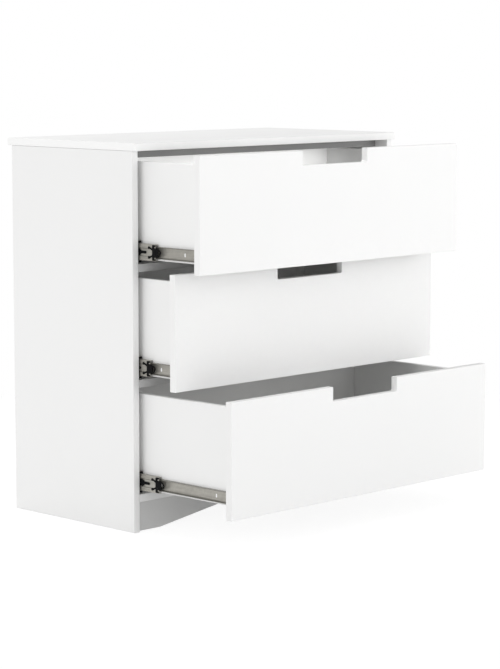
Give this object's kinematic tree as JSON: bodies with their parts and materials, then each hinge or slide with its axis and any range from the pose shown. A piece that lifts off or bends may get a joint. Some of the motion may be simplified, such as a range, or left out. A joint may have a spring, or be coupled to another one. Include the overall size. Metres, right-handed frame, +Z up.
{
  "type": "chest of drawers",
  "caption": "White chest of drawers with finger notches in overlay fronts, boxes on full-extension ball-bearing slides, arched plinth and overhanging top.",
  "frame": {"origin": "on the floor, in the middle of the box that the chest takes up with its drawers open as at rest", "axes": "+X to the right seen from the front, +Y to the back, +Z up; drawers open towards -Y"},
  "size_m": [0.8, 0.675, 0.8063],
  "materials": {
    "white_board": "white melamine-faced chipboard, satin",
    "white_hardboard": "white-lacquered hardboard, matt",
    "zinc_steel": "zinc-plated cold-rolled steel",
    "cage_steel": "zinc-plated steel cage with steel balls",
    "black_plastic": "moulded black plastic"
  },
  "bodies": {
    "carcass": {"side_panel_left": "white_board", "side_panel_right": "white_board", "top_panel": "white_board", "back_panel": "white_hardboard", "top_rail": "white_board", "upper_rail": "white_board", "lower_rail": "white_board", "bottom_panel": "white_board", "plinth": "white_board", "bottom_left_cabinet_rail": "zinc_steel", "bottom_right_cabinet_rail": "zinc_steel", "middle_left_cabinet_rail": "zinc_steel", "middle_right_cabinet_rail": "zinc_steel", "top_left_cabinet_rail": "zinc_steel", "top_right_cabinet_rail": "zinc_steel"},
    "bottom_middle_rails": {"bottom_left_middle_rail": "zinc_steel", "bottom_right_middle_rail": "zinc_steel", "bottom_left_clip": "black_plastic", "bottom_right_clip": "black_plastic"},
    "bottom_drawer": {"bottom_drawer_front": "white_board", "bottom_drawer_side_left": "white_board", "bottom_drawer_side_right": "white_board", "bottom_drawer_back": "white_board", "bottom_drawer_base": "white_hardboard", "bottom_left_drawer_rail": "zinc_steel", "bottom_right_drawer_rail": "zinc_steel"},
    "bottom_outer_cages": {"bottom_left_outer_cage": "cage_steel", "bottom_right_outer_cage": "cage_steel"},
    "bottom_inner_cages": {"bottom_left_inner_cage": "cage_steel", "bottom_right_inner_cage": "cage_steel"},
    "middle_middle_rails": {"middle_left_middle_rail": "zinc_steel", "middle_right_middle_rail": "zinc_steel", "middle_left_clip": "black_plastic", "middle_right_clip": "black_plastic"},
    "middle_drawer": {"middle_drawer_front": "white_board", "middle_drawer_side_left": "white_board", "middle_drawer_side_right": "white_board", "middle_drawer_back": "white_board", "middle_drawer_base": "white_hardboard", "middle_left_drawer_rail": "zinc_steel", "middle_right_drawer_rail": "zinc_steel"},
    "middle_outer_cages": {"middle_left_outer_cage": "cage_steel", "middle_right_outer_cage": "cage_steel"},
    "middle_inner_cages": {"middle_left_inner_cage": "cage_steel", "middle_right_inner_cage": "cage_steel"},
    "top_middle_rails": {"top_left_middle_rail": "zinc_steel", "top_right_middle_rail": "zinc_steel", "top_left_clip": "black_plastic", "top_right_clip": "black_plastic"},
    "top_drawer": {"top_drawer_front": "white_board", "top_drawer_side_left": "white_board", "top_drawer_side_right": "white_board", "top_drawer_back": "white_board", "top_drawer_base": "white_hardboard", "top_left_drawer_rail": "zinc_steel", "top_right_drawer_rail": "zinc_steel"},
    "top_outer_cages": {"top_left_outer_cage": "cage_steel", "top_right_outer_cage": "cage_steel"},
    "top_inner_cages": {"top_left_inner_cage": "cage_steel", "top_right_inner_cage": "cage_steel"}
  },
  "joints": [
    {"name": "bottom_outer_stage", "type": "slide", "parent": "carcass", "child": "bottom_middle_rails", "axis": [0, -1, 0], "range_m": [-0.0715, 0.0735]},
    {"name": "bottom_inner_stage", "type": "slide", "parent": "bottom_middle_rails", "child": "bottom_drawer", "axis": [0, -1, 0], "range_m": [-0.1925, 0.0125]},
    {"name": "bottom_outer_cage_roll", "type": "slide", "parent": "carcass", "child": "bottom_outer_cages", "axis": [0, -1, 0], "range_m": [-0.03625, 0.03725]},
    {"name": "bottom_inner_cage_roll", "type": "slide", "parent": "bottom_middle_rails", "child": "bottom_inner_cages", "axis": [0, -1, 0], "range_m": [-0.09675, 0.00675]},
    {"name": "middle_outer_stage", "type": "slide", "parent": "carcass", "child": "middle_middle_rails", "axis": [0, -1, 0], "range_m": [-0.047, 0.098]},
    {"name": "middle_inner_stage", "type": "slide", "parent": "middle_middle_rails", "child": "middle_drawer", "axis": [0, -1, 0], "range_m": [-0.0575, 0.1475]},
    {"name": "middle_outer_cage_roll", "type": "slide", "parent": "carcass", "child": "middle_outer_cages", "axis": [0, -1, 0], "range_m": [-0.024, 0.0495]},
    {"name": "middle_inner_cage_roll", "type": "slide", "parent": "middle_middle_rails", "child": "middle_inner_cages", "axis": [0, -1, 0], "range_m": [-0.02925, 0.07425]},
    {"name": "top_outer_stage", "type": "slide", "parent": "carcass", "child": "top_middle_rails", "axis": [0, -1, 0], "range_m": [-0.065, 0.08]},
    {"name": "top_inner_stage", "type": "slide", "parent": "top_middle_rails", "child": "top_drawer", "axis": [0, -1, 0], "range_m": [-0.1105, 0.0945]},
    {"name": "top_outer_cage_roll", "type": "slide", "parent": "carcass", "child": "top_outer_cages", "axis": [0, -1, 0], "range_m": [-0.033, 0.0405]},
    {"name": "top_inner_cage_roll", "type": "slide", "parent": "top_middle_rails", "child": "top_inner_cages", "axis": [0, -1, 0], "range_m": [-0.05575, 0.04775]}
  ],
  "couplings": [
    {"joint": "bottom_outer_cage_roll", "follows": "bottom_outer_stage", "ratio": 0.5},
    {"joint": "bottom_inner_cage_roll", "follows": "bottom_inner_stage", "ratio": 0.5},
    {"joint": "middle_outer_cage_roll", "follows": "middle_outer_stage", "ratio": 0.5},
    {"joint": "middle_inner_cage_roll", "follows": "middle_inner_stage", "ratio": 0.5},
    {"joint": "top_outer_cage_roll", "follows": "top_outer_stage", "ratio": 0.5},
    {"joint": "top_inner_cage_roll", "follows": "top_inner_stage", "ratio": 0.5}
  ]
}
